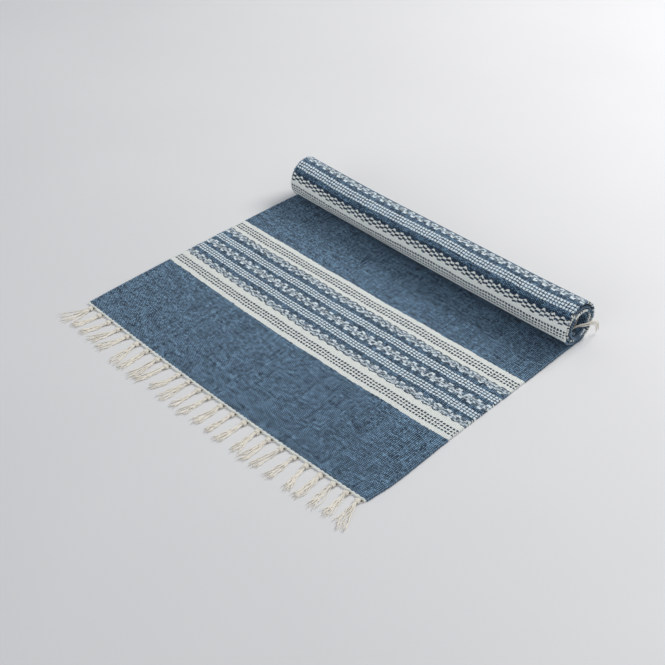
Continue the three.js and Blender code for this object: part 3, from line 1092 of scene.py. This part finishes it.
def loose_yarn(bundle, rng, row, root_y, place):
    """One yarn that waves its way over the floor to its frayed end."""
    x = row["at"]
    place += rng.uniform(-YARN_JITTER, YARN_JITTER)
    layer = rng.random()
    reach = row["reach"] + YARN_LONGER - YARN_SHORTER * abs(place) - rng.uniform(*YARN_UNEVEN)
    tip_x = x + row["lean"] + place * row["spread"] * YARN_FAN
    bend = rng.uniform(-YARN_BOW, YARN_BOW)
    waves = rng.uniform(*YARN_WAVES)
    phase = rng.uniform(0, FULL_TURN)
    sway = rng.uniform(*YARN_SWAY)
    radius = rng.uniform(*YARN_RADIUS)
    rise = rng.uniform(0, TIP_RISE)
    path = []
    for share in np.linspace(0, 1, YARN_BENDS):
        swing = sway * math.sin(phase + share * waves * FULL_TURN) * min(share * SWAY_GROWTH, 1)
        curl = bend * math.sin(share * math.pi)
        lift = mix(YARN_START_Z, radius, min(share * YARN_FALL, 1))
        lift += layer * YARN_PILE * math.exp(-share * YARN_FALL)
        ripple = 1 + math.sin(phase * 2 + share * waves * YARN_RIPPLES)
        lift += (0.5 + layer) * YARN_RIPPLE * ripple
        lift += rise * max(0, share - TIP_FROM) ** 2 * TIP_STEEP
        path.append(
            (
                mix(x + place * YARN_START_WIDE, tip_x, share ** YARN_EASE) + swing + curl,
                root_y - YARN_START - reach * share,
                max(lift * (1 - YARN_SINK * share), radius),
            )
        )
    thick = radius * (1 + UNEVEN_TWIST * np.sin(np.arange(YARN_BENDS) * TWIST_STEP + phase))
    thick[-1] *= CUT_END
    bundle.tube(path, thick)
    ahead = np.array(path[-1]) - np.array(path[-3])
    frayed(bundle, rng, path[-1], (ahead[0], ahead[1], 0), NEAR_FRAY_Z)


def near_fringe():
    """The knotted tassels at the near edge, and the tubes of painted shadow beside their knots."""
    rng = random.Random(NEAR_SEED)
    bundle = Bundle()
    shadows = Bundle()
    for row in TASSELS:
        x = row["at"]
        root_y = float(bow_at(share_across(x), 0)) - GAP - HEADING - KNOT_OFF
        gathered_warps(bundle, rng, x, root_y)
        knot(bundle, shadows, rng, (x, root_y, KNOT_Z))
        for place in fan(YARNS_A_TASSEL):
            loose_yarn(bundle, rng, row, root_y, place)
    return (
        bundle.piece("fringe_near_yarn", YARN_CREAM),
        shadows.piece("fringe_near_painted_shadows", PAINTED_KNOT_SHADOW),
    )


# The far tassels: locks wound into the core, and one tuft that hangs out beside the roll
FAR_START = CLOTH_LENGTH + GAP
FAR_EDGE = FAR_START + HEADING
LOCK_YARNS = 6
LOCK_POINTS = 14
LOCK_WIDE = 4.4
LOCK_START = 3
LOCK_LONG = 52
LOCK_JITTER = 1
LOCK_LIFT = 0.2
LOCK_WAVE = 0.4
LOCK_WAVES = 7
LOCK_RADIUS = 0.8
LOCK_SIDES = 5
TUFT_YARNS = 7
TUFT_ROOT_ACROSS = 0.985
TUFT_ROOT_BACK = 2.2
TUFT_ROOT_WIDE = 3.0
TUFT_ROOT_JITTER = 0.6
TUFT_FAN = 1.15
TUFT_JITTER = 0.7
TUFT_POINTS = 26
TUFT_ENDS = (23, 24, 25, 26)
TUFT_SWAY_Y = 0.5
TUFT_STEP_Y = 0.8
TUFT_SWAY_Z = 0.4
TUFT_STEP_Z = 0.9
TUFT_LOWEST = 1.0
TUFT_RADIUS = (0.5, 0.7)
FAR_FRAY_Z = 0.4
FAR_SEED = 34


def curve_through(points, count):
    """Points along a smooth curve through the given ones."""
    points = [np.array(point, float) for point in points]
    points = [2 * points[0] - points[1], *points, 2 * points[-1] - points[-2]]
    spans = len(points) - 3
    found = []
    for step in range(count):
        at = step / (count - 1) * spans
        span = min(int(at), spans - 1)
        share = at - span
        before, start, end, after = points[span : span + 4]
        found.append(
            0.5
            * (
                2 * start
                + (end - before) * share
                + (2 * before - 5 * start + 4 * end - after) * share * share
                + (3 * start - before - 3 * end + after) * share * share * share
            )
        )
    return found


def wound_locks(bundle, rng):
    """The far tassels that lie inside the roll."""
    for row in TASSELS[:-1]:
        for yarn, place in enumerate(fan(LOCK_YARNS)):
            across = share_across(place * LOCK_WIDE - row["at"])
            path = []
            for share in np.linspace(0, 1, LOCK_POINTS):
                long = LOCK_LONG + rng.uniform(-LOCK_JITTER, LOCK_JITTER)
                lift = LOCK_LIFT + LOCK_WAVE * math.sin(share * LOCK_WAVES + yarn)
                path.append(cloth_point(across, FAR_START + LOCK_START + share * long, lift))
            bundle.tube(path, LOCK_RADIUS, LOCK_SIDES)


def tuft(bundle, rng):
    """The one tassel that hangs out beside the roll's end."""
    root = np.array(cloth_point(TUFT_ROOT_ACROSS, FAR_EDGE - TUFT_ROOT_BACK, 0))
    for place in fan(TUFT_YARNS):
        sway = rng.uniform(0, FULL_TURN)
        root_jitter = rng.uniform(-TUFT_ROOT_JITTER, TUFT_ROOT_JITTER)
        course = [root + np.array([0, place * TUFT_ROOT_WIDE, root_jitter])]
        for row in TUFT:
            course.append(
                np.array([row["x"], row["y"], row["z"]])
                + place * TUFT_FAN * np.array([0, row["fan_y"], row["fan_z"]])
                + np.array([rng.uniform(-TUFT_JITTER, TUFT_JITTER) for axis in range(3)])
            )
        path = curve_through(course, TUFT_POINTS)
        for step, point in enumerate(path):
            point[1] += TUFT_SWAY_Y * math.sin(sway + step * TUFT_STEP_Y)
            rise = TUFT_SWAY_Z * math.cos(sway + step * TUFT_STEP_Z)
            point[2] = max(point[2] + rise, TUFT_LOWEST)
        path = path[: rng.choice(TUFT_ENDS)]
        thick = np.full(len(path), rng.uniform(*TUFT_RADIUS))
        thick[-1] *= CUT_END
        bundle.tube(path, thick)
        frayed(bundle, rng, path[-1], path[-1] - path[-2], FAR_FRAY_Z)


def far_fringe():
    rng = random.Random(FAR_SEED)
    bundle = Bundle()
    wound_locks(bundle, rng)
    tuft(bundle, rng)
    return bundle.piece("fringe_far_yarn", YARN_CREAM)


near, knot_shadows = near_fringe()
far = far_fringe()
headings = [
    heading_piece("heading_near", [-GAP - off for off in PICKS_OFF]),
    heading_piece("heading_far", [FAR_START + off for off in PICKS_OFF]),
]

# The floor: plain and pale, with a slight mottle
FLOOR_REACH = 30
MOTTLE = (1.7, 3.0, 0.5)
MOTTLE_EDGE = (0.3, 0.7)
floor_look = Look("floor_plain")
floor_place = floor_look.node("ShaderNodeTexCoord").outputs["Object"]
mottle = floor_look.spread(floor_look.noise(floor_place, *MOTTLE), *MOTTLE_EDGE)
floor_look.finish(floor_look.blend(mottle, FLOOR_SHADE, FLOOR_LIGHT), FLOOR_SURFACE)
floor_mesh = bpy.data.meshes.new("floor")
floor_corners = [(x * FLOOR_REACH, y * FLOOR_REACH, 0) for x, y in ((-1, -1), (1, -1), (1, 1), (-1, 1))]
floor_mesh.from_pydata(floor_corners, [], [(0, 1, 2, 3)])
floor_mesh.materials.append(floor_look.material)
floor = bpy.data.objects.new("floor", floor_mesh)
bpy.context.scene.collection.objects.link(floor)

# The light: a pale room all round
ROOM_COLOUR = (0.94, 0.97, 1.0, 1)
ROOM_STRENGTH = 0.43
world = bpy.data.worlds.new("room")
bpy.context.scene.world = world
world.use_nodes = True
background = world.node_tree.nodes["Background"]
background.inputs["Color"].default_value = ROOM_COLOUR
background.inputs["Strength"].default_value = ROOM_STRENGTH


def add_light(kind, name, place, aim, power, colour):
    light = bpy.data.lights.new(name, kind)
    light.energy = power
    light.color = colour
    lamp = bpy.data.objects.new(name, light)
    lamp.location = place
    lamp.rotation_euler = (Vector(aim) - Vector(place)).to_track_quat("-Z", "Y").to_euler()
    bpy.context.scene.collection.objects.link(lamp)
    return light


# A soft window above and beyond the roll
window = add_light(
    "AREA", "window", place=(0.65, 2.7, 2.6), aim=(0, 0.1, 0), power=96, colour=(1.0, 0.985, 0.96)
)
window.shape = "DISK"
window.size = 1.8
# An even, wide glow from the front keeps the roll's near side light
front = add_light(
    "SUN", "front", place=(0, -3, 0.9), aim=(0, 0, 0.05), power=0.85, colour=(0.97, 0.985, 1.0)
)
front.angle = math.radians(40)

# The photograph's view
CAMERA_RUG = (1132.5, -937.0, 1309.6)
CAMERA_RIGHT = (0.718659, 0.694890, 0.025674)
CAMERA_DOWN = (0.449563, -0.436139, -0.779535)
CAMERA_AHEAD = (-0.530494, 0.571762, -0.625833)
camera_data = bpy.data.cameras.new("camera")
camera_data.lens = 62.27
camera_data.sensor_width = 36
camera_data.clip_start = 0.05
camera = bpy.data.objects.new("camera", camera_data)
turn = Matrix((Vector(CAMERA_RIGHT), -Vector(CAMERA_DOWN), -Vector(CAMERA_AHEAD))).transposed()
eye = (Vector(CAMERA_RUG) + SHIFT) / MM_A_METRE
camera.matrix_world = Matrix.Translation(eye) @ turn.to_4x4()
bpy.context.scene.collection.objects.link(camera)
bpy.context.scene.camera = camera
bpy.context.scene.view_settings.view_transform = "Standard"

# What stands for what
for piece in (cloth, *selvedges, *headings, near, knot_shadows, far):
    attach(piece, "root")
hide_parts("rug_cloth")
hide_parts("fringe_near")
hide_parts("fringe_far")
